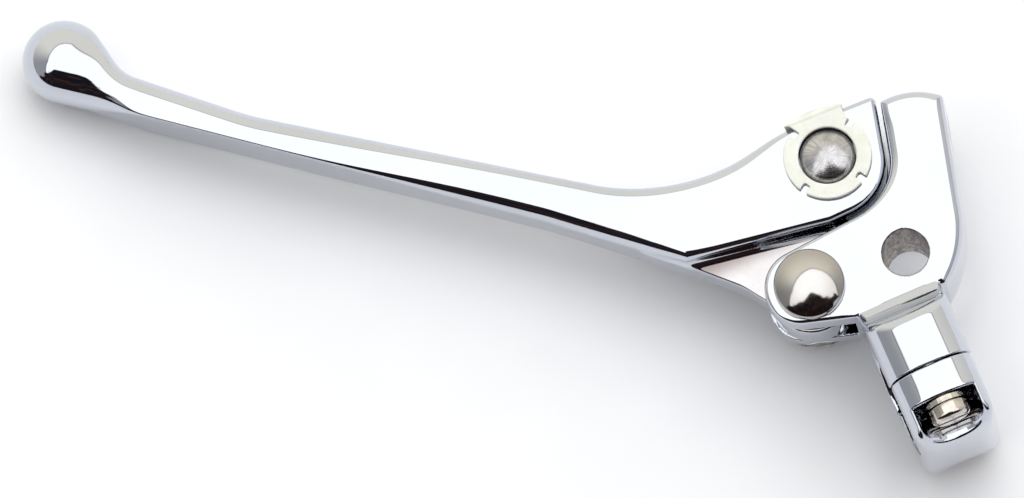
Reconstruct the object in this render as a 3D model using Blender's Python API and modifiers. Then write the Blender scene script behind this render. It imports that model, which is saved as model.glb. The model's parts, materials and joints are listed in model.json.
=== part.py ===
"""Motorcycle clutch lever on its handlebar bracket, as an assembly of separate parts.

+X runs along the handlebar, +Y points away from the bar, and +Z is the lever's pivot axis.
Sizes below are in millimetres and are turned into metres as the shapes are made. They are
measured from the centre of the handlebar bore, on the plane where the clamp splits. Last of
all the whole assembly is moved, so that the middle of its box becomes the origin.
"""
import math

import bmesh
import bpy
from mathutils import Matrix, Vector

MM = 0.001
WELD = 0.00001
GAP = 0.3                        # clearance left between neighbouring pieces

# Handlebar clamp
BAR_RADIUS = 12.7                # for a 25.4 mm handlebar
CLAMP_HALF_WIDTH = 9.5           # along the handlebar
CLAMP_HALF_HEIGHT = 21.0
CLAMP_SIDE_FLAT = 12.5           # half height of the flat side below the crown
CROWN_POWER = 2.4                # how square the crown's section is
SPLIT_HALF_GAP = 0.2
CAP_DEPTH = 16.0                 # from the split to the end of the cap
CAP_SIDE_POWER = 3.5
SHOULDER_START = 11.0            # where the post starts to fall towards the plate
SHOULDER_END = 16.9

# Clamp screws
SCREW_OFFSET = 16.5              # from the bar's axis
SCREW_RADIUS = 2.5
SCREW_HEAD_RADIUS = 4.35
SCREW_HEAD_HEIGHT = 3.3
SCREW_LENGTH = 18.0
SCREW_SLOT = 1.2
POCKET_RADIUS = 7.0
POCKET_OFFSET = 19.0
SEAT_DEPTH = 7.2                 # from the split to the seat of the lock washer
TAPPED_DEPTH = 10.2              # of the screw holes in the bracket, from the split
LOCK_WASHER_THICKNESS = 1.1

# Bracket plate
PLATE_HALF = 11.0
PLATE_EDGE = 1.6
EAR_GAP_HALF = 5.5
MIRROR_HOLE = (5.35, 26.5)
MIRROR_HOLE_RADIUS = 5.0
CABLE_HOLE_RADIUS = 3.5
FERRULE_SEAT_RADIUS = 4.6
FERRULE_SEAT_DEPTH = 6.0
FERRULE_MOUTH = 26.6             # from the anchor pin along the cable

# Pivot
PIVOT = (-16.1, 28.2)
PIN_RADIUS = 4.0
PIN_HEAD_RADIUS = 7.6
PIN_HEAD_HEIGHT = 4.5
PIN_GROOVE_DEPTH = 1.0           # for the retaining ring
PIN_TIP = 2.6                    # shank left below the retaining ring
BUSH_RADIUS = 5.0
PIVOT_WASHER_RADIUS = 8.75
PIVOT_WASHER_THICKNESS = 1.6
RING_THICKNESS = 0.9
RING_RADIUS = 6.4
RING_MOUTH = math.radians(38)    # half of the angle left open

# Lever
BALL_CENTRE = (-143.3, 141.6)
BALL_RADIUS = 9.0
BLADE_HALF = 8.0
BLADE_EDGE = 2.4
HEAD_HALF = 10.0
HEAD_EDGE = 1.0
TONGUE_TOP = 4.5
TONGUE_BOTTOM = -4.9
TONGUE_RADIUS = 9.0
WAVE_THICKNESS = 0.35
WAVE_RADIUS = 7.4

# Cable anchor
ANCHOR = (-1.5, 52.6)
ANCHOR_RADIUS = 5.9
ANCHOR_DOME = 2.2
CLIP_RADIUS = 9.45
CLIP_THICKNESS = 1.1
CLIP_NOTCH = 0.8                 # half width of the notches between the petals
CLIP_TURN = math.radians(33)
CABLE_ANGLE = math.radians(-8.0)
CABLE_SWING = math.radians(44.0)
CABLE_RADIUS = 1.4
NIPPLE_RADIUS = 3.3              # of the soldered end of the cable

# Outlines: corner x, corner y, fillet radius, anticlockwise
PLATE_OUTLINE = [
    (9.0, 15.2, 0), (17.9, 21.9, 24), (26.4, 55.2, 1.0), (20.7, 59.6, 16.0),
    (13.3, 59.5, 0.8), (8.3, 39.1, 13), (-26.0, 36.4, 8.4), (-26.0, 22.4, 8), (-9.0, 17.8, 0),
]
BLADE_OUTLINE = [
    (-147.5, 133.0, 2), (-138.0, 126.2, 30), (-62.0, 65.4, 60), (-44.0, 49.4, 0),
    (-33.5, 58.5, 0), (-52.0, 70.2, 60), (-111.0, 113.0, 60), (-130.5, 131.0, 9),
    (-134.5, 141.5, 3), (-143.0, 146.0, 3),
]
HEAD_OUTLINE = [
    (-58.0, 62.0, 0), (-38.0, 44.5, 0.8), (-6.5, 39.3, 5), (7.75, 39.7, 12.4),
    (12.95, 61.1, 1.2), (-8.5, 61.8, 40), (-34.8, 57.4, 43), (-56.0, 72.9, 0),
]
TONGUE_OUTLINE = [
    (-46.0, 52.0, 0), (-29.0, 35.0, 16), (-25.1, 29.0, 2), (-16.1, 28.2, 0),
    (-7.4, 28.2, 0), (-4.0, 40.5, 0), (-4.0, 46.0, 0), (-36.0, 50.0, 0),
]
CLEVIS_OUTLINE = [
    (-40.0, 10.0, 0), (-10.2, 10.0, 0), (-10.2, 18.4, 0), (-5.8, 21.4, 3), (-5.6, 30.0, 6),
    (-1.6, 41.5, 0), (-40.0, 44.0, 0),
]
STRAP_OUTLINE = [
    (-7.4, 62.1, 0), (5.7, 61.75, 0), (5.7, 62.2, 0.2), (-0.6, 63.3, 14), (-7.4, 62.5, 0.2),
]


# Shape helpers ------------------------------------------------------------------------------

def collection(name):
    """Make a collection and link it to the scene."""
    made = bpy.data.collections.new(name)
    bpy.context.scene.collection.children.link(made)
    return made


def material(name, colour, metallic, roughness):
    """A Principled material with a colour, metallic value and roughness."""
    made = bpy.data.materials.new(name)
    made.use_nodes = True
    shader = made.node_tree.nodes["Principled BSDF"]
    shader.inputs["Base Color"].default_value = (*colour, 1.0)
    shader.inputs["Metallic"].default_value = metallic
    shader.inputs["Roughness"].default_value = roughness
    return made


def fillet(before, corner, after, radius, step):
    """Points along the arc that rounds one corner of an outline."""
    point = Vector(corner)
    back = (Vector(before) - point).normalized()
    ahead = (Vector(after) - point).normalized()
    half = back.angle(ahead) / 2
    centre = point + (back + ahead).normalized() * radius / math.sin(half)
    start = point + back * radius / math.tan(half) - centre
    end = point + ahead * radius / math.tan(half) - centre
    turn = start.angle_signed(end)
    count = max(2, math.ceil(abs(turn) / step))
    return [centre + Matrix.Rotation(-turn * i / count, 2) @ start for i in range(count + 1)]


def rounded(corners, step=math.radians(9)):
    """The outline through a list of corners, each rounded by its own radius."""
    points = []
    for index, (x, y, radius) in enumerate(corners):
        before = corners[index - 1][:2]
        after = corners[(index + 1) % len(corners)][:2]
        if radius:
            points += fillet(before, (x, y), after, radius, step)
        else:
            points.append(Vector((x, y)))
    return points


def arc(centre, radius, start, end, count):
    """Points along an arc, angles in radians."""
    angles = [start + (end - start) * i / count for i in range(count + 1)]
    return [Vector((centre[0] + radius * math.cos(a), centre[1] + radius * math.sin(a)))
            for a in angles]


def superellipse(width, height, power, count):
    """One quadrant of a superellipse, from its top to its side."""
    points = []
    for index in range(count + 1):
        angle = math.pi / 2 * (1 - index / count)
        points.append((width * abs(math.cos(angle)) ** (2 / power),
                       height * abs(math.sin(angle)) ** (2 / power)))
    return points


def link(name, mesh, where, place=Matrix()):
    """Put a mesh into the scene as a named object."""
    made = bpy.data.objects.new(name, mesh)
    made.matrix_world = place
    where.objects.link(made)
    return made


def plate(name, points, low, high, edge, where, place=Matrix()):
    """A flat outline with a thickness from low to high, its edges rounded by edge."""
    curve = bpy.data.curves.new(name, "CURVE")
    curve.dimensions = "2D"
    curve.fill_mode = "BOTH"
    curve.extrude = ((high - low) / 2 - edge) * MM
    curve.bevel_depth = edge * MM
    curve.bevel_resolution = 2
    curve.offset = -edge * MM
    spline = curve.splines.new("POLY")
    spline.points.add(len(points) - 1)
    for knot, (x, y) in zip(spline.points, points):
        knot.co = (x * MM, y * MM, 0, 1)
    spline.use_cyclic_u = True
    drawn = link(name + "_outline", curve, where)
    bpy.context.view_layer.update()
    evaluated = drawn.evaluated_get(bpy.context.evaluated_depsgraph_get())
    mesh = bpy.data.meshes.new_from_object(evaluated)
    bpy.data.objects.remove(drawn)
    bpy.data.curves.remove(curve)
    shape = bmesh.new()
    shape.from_mesh(mesh)
    bmesh.ops.remove_doubles(shape, verts=shape.verts, dist=WELD)
    bmesh.ops.translate(shape, verts=shape.verts, vec=(0, 0, (high + low) / 2 * MM))
    bmesh.ops.recalc_face_normals(shape, faces=shape.faces)
    shape.to_mesh(mesh)
    shape.free()
    mesh.name = name
    return link(name, mesh, where, place)


def cylinder(name, radius, low, high, where, place=Matrix(), segments=48):
    """A closed cylinder about the local Z axis, from low to high."""
    shape = bmesh.new()
    lift = Matrix.Translation((0, 0, (low + high) / 2 * MM))
    bmesh.ops.create_cone(shape, cap_ends=True, segments=segments, radius1=radius * MM,
                          radius2=radius * MM, depth=(high - low) * MM, matrix=lift)
    mesh = bpy.data.meshes.new(name)
    shape.to_mesh(mesh)
    shape.free()
    return link(name, mesh, where, place)


def box(name, low, high, where):
    """A box between two corners."""
    shape = bmesh.new()
    size = [(b - a) * MM for a, b in zip(low, high)]
    middle = [(b + a) / 2 * MM for a, b in zip(low, high)]
    fit = Matrix.Translation(middle) @ Matrix.Diagonal((*size, 1))
    bmesh.ops.create_cube(shape, size=1, matrix=fit)
    mesh = bpy.data.meshes.new(name)
    shape.to_mesh(mesh)
    shape.free()
    return link(name, mesh, where)


def turned(name, profile, where, place=Matrix(), steps=48):
    """A turned piece: a profile of (radius, height) points spun about the local Z axis."""
    mesh = bpy.data.meshes.new(name)
    points = [(radius * MM, 0, height * MM) for radius, height in profile]
    closed = profile[0][0] > 0
    edges = [(i, i + 1) for i in range(len(points) - 1)]
    if closed:
        edges.append((len(points) - 1, 0))
    mesh.from_pydata(points, edges, [])
    made = link(name, mesh, where, place)
    spin = made.modifiers.new("Spin", "SCREW")
    spin.steps = steps
    spin.render_steps = steps
    spin.use_merge_vertices = True
    spin.merge_threshold = WELD
    return made


def combine(target, operation, tool, cutters):
    """Union, difference or intersection of the target with a tool object."""
    step = target.modifiers.new(tool.name, "BOOLEAN")
    step.operation = operation
    step.solver = "EXACT"
    step.object = tool
    tool.hide_render = True
    tool.display_type = "WIRE"
    for home in list(tool.users_collection):
        home.objects.unlink(tool)
    cutters.objects.link(tool)


def finish(piece, look, parent=None):
    """Give a piece its material, smooth its round faces and hang it on its parent."""
    if parent:
        bpy.context.view_layer.update()
        piece.parent = parent
        piece.matrix_parent_inverse = parent.matrix_world.inverted()
    piece.data.materials.append(look)
    piece.data.shade_smooth()
    piece.data.set_sharp_from_angle(angle=math.radians(35))


def standing_at(point, height=0.0):
    """Placement at a plan point, the local Z axis upright."""
    return Matrix.Translation((point[0] * MM, point[1] * MM, height * MM))


def along_cable():
    """Placement at the anchor pin, the local Z axis along the cable, towards its ferrule."""
    return standing_at(ANCHOR) @ Matrix.Rotation(CABLE_ANGLE, 4, "Z") @ Matrix.Rotation(
        math.pi / 2, 4, "Y")


ALONG_X = Matrix.Rotation(math.pi / 2, 4, "Y")
ALONG_Y = Matrix.Rotation(-math.pi / 2, 4, "X")
SIDE_VIEW = Matrix(((0, 0, 1, 0), (1, 0, 0, 0), (0, 1, 0, 0), (0, 0, 0, 1)))
END_VIEW = Matrix(((1, 0, 0, 0), (0, 0, -1, 0), (0, 1, 0, 0), (0, 0, 0, 1)))


# Clamp --------------------------------------------------------------------------------------

def crown_section():
    """The clamp's section across the handlebar's side: flat sides and crowned ends, x by z."""
    rise = CLAMP_HALF_HEIGHT - CLAMP_SIDE_FLAT
    quarter = superellipse(CLAMP_HALF_WIDTH, rise, CROWN_POWER, 8)
    right = [(x, CLAMP_SIDE_FLAT + z) for x, z in quarter]
    top = right[::-1] + [(-x, z) for x, z in right[1:]]
    return top + [(-x, -z) for x, z in top]


def clamp_bar(name, low, high, where):
    """The clamp's section run along Y from low to high."""
    return plate(name, crown_section(), -high, -low, 0, where, END_VIEW)


def post(cutters):
    """The bracket's half of the clamp, with shoulders that fall to the plate."""
    body = clamp_bar("post", SPLIT_HALF_GAP, SHOULDER_END + 3, cutters)
    beyond = CLAMP_HALF_HEIGHT + 3
    upper = [(SHOULDER_END + 4, PLATE_HALF - PLATE_EDGE, 0),
             (SHOULDER_END, PLATE_HALF - PLATE_EDGE, 2), (SHOULDER_START, CLAMP_HALF_HEIGHT, 5),
             (2.0, CLAMP_HALF_HEIGHT + 0.01, 0), (2.0, beyond, 0), (-2.0, beyond, 0)]
    lower = [(y, -z, radius) for y, z, radius in reversed(upper)]
    profile = plate("post_side", rounded(upper + lower), -12, 12, 0, cutters, SIDE_VIEW)
    combine(body, "INTERSECT", profile, cutters)
    return body


def cap_side():
    """The cap's outline seen along the handlebar: y by z, closed beyond the split."""
    quarter = superellipse(CAP_DEPTH, CLAMP_HALF_HEIGHT, CAP_SIDE_POWER, 12)
    low = [(-y, -z) for y, z in quarter]
    high = [(-y, z) for y, z in reversed(quarter)]
    return [(5.0, CLAMP_HALF_HEIGHT), *reversed([*low, *high[1:]]), (5.0, -CLAMP_HALF_HEIGHT)]


def clamp_cap(parts, cutters, look):
    """The loose half of the clamp, with two scooped pockets for the screw heads."""
    cap = clamp_bar("clamp_cap", -CAP_DEPTH - 2, -SPLIT_HALF_GAP, parts)
    combine(cap, "INTERSECT", plate("cap_side", cap_side(), -12, 12, 0, cutters, SIDE_VIEW),
            cutters)
    wide = CLAMP_HALF_WIDTH
    plan = [(wide, 4, 0), (-wide, 4, 0), (-wide + 0.4, -CAP_DEPTH, 5),
            (wide - 0.4, -CAP_DEPTH, 5)]
    combine(cap, "INTERSECT", plate("cap_plan", rounded(plan), -24, 24, 0, cutters), cutters)
    combine(cap, "DIFFERENCE", cylinder("cap_bore", BAR_RADIUS, -12, 12, cutters, ALONG_X, 72),
            cutters)
    for side, name in ((1, "upper"), (-1, "lower")):
        pocket = Matrix.Translation((0, 0, side * POCKET_OFFSET * MM)) @ ALONG_Y
        combine(cap, "DIFFERENCE", cylinder("pocket_" + name, POCKET_RADIUS, -24, -SEAT_DEPTH,
                                            cutters, pocket), cutters)
        hole = Matrix.Translation((0, 0, side * SCREW_OFFSET * MM)) @ ALONG_Y
        combine(cap, "DIFFERENCE", cylinder("screw_hole_" + name, SCREW_RADIUS + GAP, -12, 4,
                                            cutters, hole, 24), cutters)
    finish(cap, look)


def clamp_screws(parts, cutters, look):
    """Two slotted screws with split lock washers under their heads."""
    washer_face = -SEAT_DEPTH - GAP
    head_face = washer_face - LOCK_WASHER_THICKNESS - GAP
    head_end = head_face - SCREW_HEAD_HEIGHT
    tip = head_face + SCREW_LENGTH
    profile = [(0, tip), (SCREW_RADIUS - 0.6, tip), (SCREW_RADIUS, tip - 0.6),
               (SCREW_RADIUS, head_face), (SCREW_HEAD_RADIUS - 0.3, head_face),
               (SCREW_HEAD_RADIUS, head_face - 0.3), (SCREW_HEAD_RADIUS, head_end + 0.9),
               (SCREW_HEAD_RADIUS - 0.35, head_end + 0.3), (SCREW_HEAD_RADIUS - 1.3, head_end),
               (0, head_end)]
    outer, inner = SCREW_HEAD_RADIUS - 0.15, SCREW_RADIUS + GAP
    ring = [(inner, washer_face), (outer, washer_face),
            (outer, washer_face - LOCK_WASHER_THICKNESS),
            (inner, washer_face - LOCK_WASHER_THICKNESS)]
    for side, name in ((1, "upper"), (-1, "lower")):
        height = side * SCREW_OFFSET
        axis = Matrix.Translation((0, 0, height * MM)) @ ALONG_Y
        screw = turned("clamp_screw_" + name, profile, parts, axis, 32)
        slot = box("driver_slot_" + name, (-6, head_end - 2, height - SCREW_SLOT / 2),
                   (6, head_end + 1.3, height + SCREW_SLOT / 2), cutters)
        combine(screw, "DIFFERENCE", slot, cutters)
        finish(screw, look)
        washer = turned("lock_washer_" + name, ring, parts, axis, 32)
        split = box("washer_split_" + name, (-0.4, -SEAT_DEPTH - 4, height - 8),
                    (0.4, -SEAT_DEPTH + 1, height - 1), cutters)
        combine(washer, "DIFFERENCE", split, cutters)
        finish(washer, look)


# Bracket ------------------------------------------------------------------------------------

def bracket(parts, cutters, look):
    """The perch: plate with clevis ears, the clamp half, and its drilled holes."""
    made = plate("bracket", rounded(PLATE_OUTLINE), -PLATE_HALF, PLATE_HALF, PLATE_EDGE, parts)
    combine(made, "UNION", post(cutters), cutters)
    bores = [
        plate("clevis", rounded(CLEVIS_OUTLINE), -EAR_GAP_HALF, EAR_GAP_HALF, 0, cutters),
        cylinder("bar_bore", BAR_RADIUS, -12, 12, cutters, ALONG_X, 72),
        cylinder("pivot_hole", PIN_RADIUS + GAP, -14, 14, cutters, standing_at(PIVOT), 32),
        cylinder("mirror_hole", MIRROR_HOLE_RADIUS, -14, 14, cutters,
                 standing_at(MIRROR_HOLE)),
        cylinder("cable_hole", CABLE_HOLE_RADIUS, 8, 40, cutters, along_cable(), 24),
    ]
    bores.append(cylinder("ferrule_seat", FERRULE_SEAT_RADIUS, FERRULE_MOUTH - FERRULE_SEAT_DEPTH,
                          40, cutters, along_cable(), 32))
    for side, name in ((1, "upper"), (-1, "lower")):
        axis = Matrix.Translation((0, 0, side * SCREW_OFFSET * MM)) @ ALONG_Y
        bores.append(cylinder("tapped_hole_" + name, SCREW_RADIUS + GAP, -2, TAPPED_DEPTH, cutters,
                              axis, 24))
    for bore in bores:
        combine(made, "DIFFERENCE", bore, cutters)
    finish(made, look)


# Pivot --------------------------------------------------------------------------------------

def ring_levels():
    """Top of the pivot washer, top of the retaining ring and bottom of the pin."""
    washer_top = -PLATE_HALF - GAP
    ring_top = washer_top - PIVOT_WASHER_THICKNESS - GAP
    return washer_top, ring_top, ring_top - RING_THICKNESS - PIN_TIP


def pivot_pin(parts, look):
    """A domed pin with a groove near its tip."""
    _, ring_top, tip = ring_levels()
    underside = PLATE_HALF + GAP
    crown = (PIN_HEAD_RADIUS ** 2 + PIN_HEAD_HEIGHT ** 2) / (2 * PIN_HEAD_HEIGHT)
    rim = math.asin(PIN_HEAD_RADIUS / crown)
    dome = [(crown * math.sin(rim * i / 10),
             underside + PIN_HEAD_HEIGHT + crown * (math.cos(rim * i / 10) - 1))
            for i in range(10)]
    groove = PIN_RADIUS - PIN_GROOVE_DEPTH
    shank = [(PIN_HEAD_RADIUS, underside + 0.2), (PIN_HEAD_RADIUS - 0.2, underside),
             (PIN_RADIUS, underside), (PIN_RADIUS, ring_top + GAP), (groove, ring_top + GAP),
             (groove, ring_top - RING_THICKNESS - GAP),
             (PIN_RADIUS, ring_top - RING_THICKNESS - GAP), (PIN_RADIUS, tip + 0.6),
             (PIN_RADIUS - 0.6, tip), (0, tip)]
    pin = turned("pivot_pin", dome + shank, parts, standing_at(PIVOT), 48)
    finish(pin, look)


def pivot_washers(parts, cutters, plain, spring):
    """The flat washer, the snap ring below the bracket and the wave washer on the tongue."""
    washer_top, ring_top, _ = ring_levels()
    inner = PIN_RADIUS + GAP
    low = washer_top - PIVOT_WASHER_THICKNESS
    ring = [(inner, washer_top), (PIVOT_WASHER_RADIUS, washer_top), (PIVOT_WASHER_RADIUS, low),
            (inner, low)]
    finish(turned("pivot_washer", ring, parts, standing_at(PIVOT), 48), plain)

    wave_low = (TONGUE_TOP + EAR_GAP_HALF - WAVE_THICKNESS) / 2
    wave = [(inner, wave_low + WAVE_THICKNESS), (WAVE_RADIUS, wave_low + WAVE_THICKNESS),
            (WAVE_RADIUS, wave_low), (inner, wave_low)]
    finish(turned("anti_rattle_washer", wave, parts, standing_at(PIVOT), 48), spring)

    outside = arc((0, 0), RING_RADIUS, RING_MOUTH, 2 * math.pi - RING_MOUTH, 28)
    inside = []
    lobes = 24
    for index in range(lobes + 1):
        share = index / lobes
        angle = 2 * math.pi * (1 - share) - RING_MOUTH * 1.25 * (1 - 2 * share)
        relief = 1.5 * max(0.0, math.cos(3 * angle)) ** 0.5
        radius = PIN_RADIUS - 0.7 + relief
        inside.append(Vector((radius * math.cos(angle), radius * math.sin(angle))))
    snap = plate("pivot_retaining_ring", outside + inside, ring_top - RING_THICKNESS, ring_top,
                 0, parts, standing_at(PIVOT))
    finish(snap, spring)


# Lever --------------------------------------------------------------------------------------

def tongue_outline():
    """The thin part of the lever between the ears, ending in a round eye at the pivot."""
    outline = rounded(TONGUE_OUTLINE)
    middle = outline.index(Vector(PIVOT))
    eye = arc(PIVOT, TONGUE_RADIUS, math.radians(175), math.radians(360), 20)
    return outline[:middle - 3] + eye + outline[middle + 2:]


def lever_blank(parts, cutters):
    """Ball, blade, head and tongue joined into one solid."""
    made = plate("lever", rounded(HEAD_OUTLINE), -HEAD_HALF, HEAD_HALF, HEAD_EDGE, parts)
    blade = plate("blade", rounded(BLADE_OUTLINE), -BLADE_HALF, BLADE_HALF, BLADE_EDGE, cutters)
    ball = bmesh.new()
    bmesh.ops.create_uvsphere(ball, u_segments=40, v_segments=24, radius=BALL_RADIUS * MM)
    mesh = bpy.data.meshes.new("ball")
    ball.to_mesh(mesh)
    ball.free()
    tongue = plate("tongue", tongue_outline(), TONGUE_BOTTOM, TONGUE_TOP, 0, cutters)
    for shape in (blade, link("ball", mesh, cutters, standing_at(BALL_CENTRE)), tongue):
        combine(made, "UNION", shape, cutters)
    return made


def cable_slot(cutters):
    """The wedge at mid thickness that lets the cable swing as the lever is pulled."""
    far = 30.0
    start = CABLE_ANGLE + math.radians(7)
    wedge = [Vector(ANCHOR)] + arc(ANCHOR, far, CABLE_ANGLE - CABLE_SWING, start, 8)
    return plate("cable_slot", wedge, -CABLE_RADIUS - 0.5, CABLE_RADIUS + 0.5, 0, cutters)


def lever(parts, cutters, look, parent):
    """The hand lever with its pivot bore, anchor bore and cable slot."""
    made = lever_blank(parts, cutters)
    for tool in (cylinder("bush_bore", BUSH_RADIUS + GAP, -14, 14, cutters,
                          standing_at(PIVOT), 32),
                 cylinder("anchor_bore", ANCHOR_RADIUS + GAP, -14, 14, cutters,
                          standing_at(ANCHOR), 48),
                 cable_slot(cutters)):
        combine(made, "DIFFERENCE", tool, cutters)
    finish(made, look, parent)


def pivot_bushing(parts, look, parent):
    """The plain bearing pressed into the lever's pivot bore."""
    bore = PIN_RADIUS + GAP
    ring = [(bore, TONGUE_TOP), (BUSH_RADIUS, TONGUE_TOP), (BUSH_RADIUS, TONGUE_BOTTOM),
            (bore, TONGUE_BOTTOM)]
    finish(turned("pivot_bushing", ring, parts, standing_at(PIVOT), 32), look, parent)


def anchor_pin(parts, cutters, look, parent):
    """The domed cross pin that holds the cable's end, drilled for the cable."""
    flat = HEAD_HALF + GAP
    crown = (ANCHOR_RADIUS ** 2 + ANCHOR_DOME ** 2) / (2 * ANCHOR_DOME)
    rim = math.asin(ANCHOR_RADIUS / crown)
    dome = [(crown * math.sin(rim * i / 8),
             flat + ANCHOR_DOME + crown * (math.cos(rim * i / 8) - 1)) for i in range(9)]
    profile = dome + [(radius, -height) for radius, height in reversed(dome)]
    pin = turned("anchor_pin", profile, parts, standing_at(ANCHOR), 40)
    hole = cylinder("cable_way", CABLE_RADIUS, -2, 9, cutters, along_cable(), 20)
    socket = cylinder("nipple_socket", NIPPLE_RADIUS, -9, 1.5, cutters, along_cable(), 24)
    combine(pin, "DIFFERENCE", hole, cutters)
    combine(pin, "DIFFERENCE", socket, cutters)
    finish(pin, look, parent)


def anchor_clip(parts, cutters, look, parent):
    """The nylon clip: a petalled collar on each face of the head, joined by a strap."""
    face = HEAD_HALF + GAP
    outer = face + CLIP_THICKNESS
    proud = 0.1
    clip = plate("anchor_clip", rounded(STRAP_OUTLINE), -outer - proud, outer + proud, 0, parts)
    for side, name in ((1, "upper"), (-1, "lower")):
        low, high = sorted((side * face, side * outer))
        combine(clip, "UNION", cylinder("collar_" + name, CLIP_RADIUS, low, high, cutters,
                                        standing_at(ANCHOR), 48), cutters)
    combine(clip, "DIFFERENCE", cylinder("collar_bore", ANCHOR_RADIUS + GAP, -14, 14, cutters,
                                         standing_at(ANCHOR), 48), cutters)
    for quarter in range(4):
        turn = Matrix.Rotation(math.radians(90 * quarter) + CLIP_TURN, 4, "Z")
        notch = box("notch_%d" % quarter, (7.6, -CLIP_NOTCH, -14), (11.0, CLIP_NOTCH, 14),
                    cutters)
        notch.matrix_world = standing_at(ANCHOR) @ turn
        combine(clip, "DIFFERENCE", notch, cutters)
    finish(clip, look, parent)


# Assembly -----------------------------------------------------------------------------------

def joint_empty(name, point, where, parent=None):
    """An empty on a joint's axis."""
    made = bpy.data.objects.new(name, None)
    made.empty_display_size = 0.02
    where.objects.link(made)
    made.matrix_world = standing_at(point)
    if parent:
        bpy.context.view_layer.update()
        made.parent = parent
        made.matrix_parent_inverse = parent.matrix_world.inverted()
        bpy.context.view_layer.update()
    return made


def centre_all(parts):
    """Move everything together, so that the middle of the assembly's box is the origin."""
    bpy.context.view_layer.update()
    depsgraph = bpy.context.evaluated_depsgraph_get()
    corners = []
    for piece in parts.objects:
        if piece.type == "MESH":
            shown = piece.evaluated_get(depsgraph)
            corners += [shown.matrix_world @ Vector(corner) for corner in shown.bound_box]
    middle = Vector([(min(axis) + max(axis)) / 2 for axis in zip(*corners)])
    for item in bpy.data.objects:
        if item.parent is None:
            item.matrix_world = Matrix.Translation(-middle) @ item.matrix_world
    bpy.context.view_layer.update()


def main():
    for old in list(bpy.data.objects):
        bpy.data.objects.remove(old)
    parts = collection("clutch_lever")
    cutters = collection("cutters")
    chrome = material("chrome", (0.86, 0.87, 0.88), 1.0, 0.05)
    nickel = material("nickel_plate", (0.72, 0.66, 0.55), 1.0, 0.25)
    steel = material("turned_steel", (0.60, 0.60, 0.61), 1.0, 0.28)
    spring = material("spring_steel", (0.25, 0.24, 0.23), 1.0, 0.40)
    bronze = material("bronze", (0.58, 0.38, 0.18), 1.0, 0.35)
    nylon = material("nylon", (0.86, 0.88, 0.82), 0.0, 0.38)

    swing = joint_empty("lever_pivot_axis", PIVOT, parts)
    spin = joint_empty("anchor_pin_axis", ANCHOR, parts, swing)

    bracket(parts, cutters, chrome)
    clamp_cap(parts, cutters, chrome)
    clamp_screws(parts, cutters, nickel)
    pivot_pin(parts, chrome)
    pivot_washers(parts, cutters, nickel, spring)
    lever(parts, cutters, chrome, swing)
    pivot_bushing(parts, bronze, swing)
    anchor_clip(parts, cutters, nylon, swing)
    anchor_pin(parts, cutters, steel, spin)
    centre_all(parts)


main()
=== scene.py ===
"""Looks of the clutch lever: fine surfaces, plated and moulded materials, floor, light and camera.

Most visible pieces are the zero surface of a distance field, in millimetres, in the CAD frame:
+X along the handlebar, +Y away from it, +Z along the lever's pivot. The small pieces round
the pivot and the lock washers keep their CAD shapes.
"""
import json
import math

import bpy
import numpy as np
from mathutils import Matrix, Vector


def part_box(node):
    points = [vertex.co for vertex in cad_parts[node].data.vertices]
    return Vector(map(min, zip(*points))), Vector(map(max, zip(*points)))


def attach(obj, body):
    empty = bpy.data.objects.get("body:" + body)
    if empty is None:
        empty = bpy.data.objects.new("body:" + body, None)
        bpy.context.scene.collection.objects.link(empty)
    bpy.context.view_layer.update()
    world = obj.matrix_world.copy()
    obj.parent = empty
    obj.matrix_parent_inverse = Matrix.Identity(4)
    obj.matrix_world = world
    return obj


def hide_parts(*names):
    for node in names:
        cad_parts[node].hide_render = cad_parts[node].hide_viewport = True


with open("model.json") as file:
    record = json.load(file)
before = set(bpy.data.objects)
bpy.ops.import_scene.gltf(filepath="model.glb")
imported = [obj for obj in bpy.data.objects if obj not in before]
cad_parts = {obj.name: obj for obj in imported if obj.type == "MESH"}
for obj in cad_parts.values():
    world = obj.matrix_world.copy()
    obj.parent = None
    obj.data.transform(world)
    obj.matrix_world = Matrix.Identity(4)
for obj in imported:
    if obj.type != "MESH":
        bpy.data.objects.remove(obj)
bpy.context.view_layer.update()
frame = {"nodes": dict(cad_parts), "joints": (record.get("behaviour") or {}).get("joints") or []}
MM = 0.001


# Places and sizes taken from the frame --------------------------------------------------------
# All in millimetres and measured from the centre of the handlebar bore, called home.

def joint_place(name):
    """A joint's point, measured from the frame's own origin."""
    joint = next(item for item in frame["joints"] if item["name"] == name)
    return np.array(joint["pos_m"]) / MM


PIVOT = np.array((-16.1, 28.2))
HOME = joint_place("lever_pivot") - (*PIVOT, 0.0)
ANCHOR = (joint_place("anchor_turn") - HOME)[:2]


def low(node):
    """The lowest corner of a CAD node's box."""
    return np.array(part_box(node)[0]) / MM - HOME


def high(node):
    """The highest corner of a CAD node's box."""
    return np.array(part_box(node)[1]) / MM - HOME


def world_place(x, y, z):
    """A place given from home in millimetres, as the frame's coordinates in metres."""
    return (np.array((x, y, z)) + HOME) * MM


# Bracket and clamp. "Half" sizes reach from the mid plane to either side
PLATE_HALF = 11.0
EAR_GAP_HALF = 5.5
BAR_RADIUS = 12.7
CLAMP_HALF_WIDTH = 9.5
SPLIT_HALF_GAP = 0.18
CAP_END = low("clamp_cap")[1]
MIRROR_HOLE = np.array((5.35, 26.5))
MIRROR_HOLE_RADIUS = 5.0
PIVOT_HOLE_RADIUS = 4.3
# The holes for the cable and its ferrule: (radius, how far from the anchor pin it starts, edge)
CABLE_HOLES = [(3.5, 8.0, 0.3), (4.6, 20.6, 0.4)]

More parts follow.
